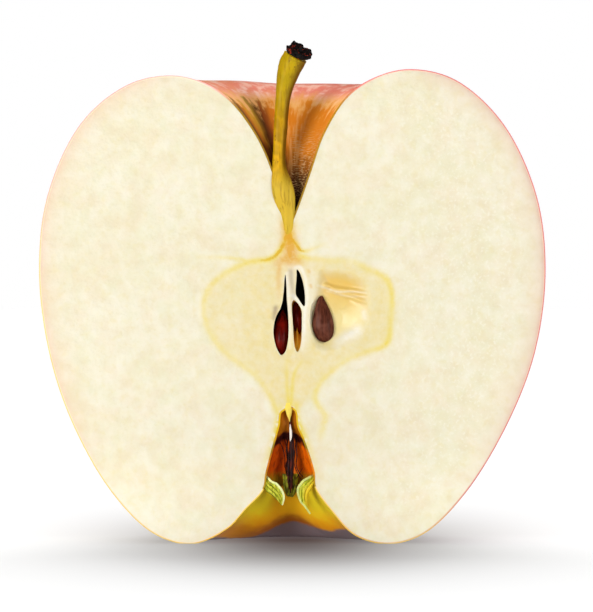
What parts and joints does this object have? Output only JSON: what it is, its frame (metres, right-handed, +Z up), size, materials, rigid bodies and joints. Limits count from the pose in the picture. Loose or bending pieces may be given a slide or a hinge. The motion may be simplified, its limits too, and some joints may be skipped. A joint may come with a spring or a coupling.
{
  "type": "apple half",
  "caption": "Half of a blushed apple cut from stem to calyx, standing on its lobes with its seed chambers open.",
  "frame": {"origin": "On the floor under the middle of the half's footprint, the stem's overhang in front of the cut included.", "axes": "+Z is up along the core from calyx to stem. The flat cut faces -Y and the round back faces +Y, so +X is to the right as one looks at the cut."},
  "size_m": [0.0804, 0.0404, 0.0792],
  "materials": {
    "flesh": "moist cream flesh with a fine grain",
    "peel": "waxy skin, pink blush over yellow",
    "stem": "smooth olive bark with a dark scar at the end",
    "seed": "brown seed coat",
    "sepal": "half dried leaf",
    "pistil": "dried dark strands"
  },
  "bodies": {
    "root": {"apple_half": "flesh", "stem": "stem", "seed_right": "seed", "seed_left": "seed", "seed_middle": "seed", "sepal_1": "sepal", "sepal_2": "sepal", "sepal_3": "sepal", "pistil": "pistil"}
  },
  "joints": []
}
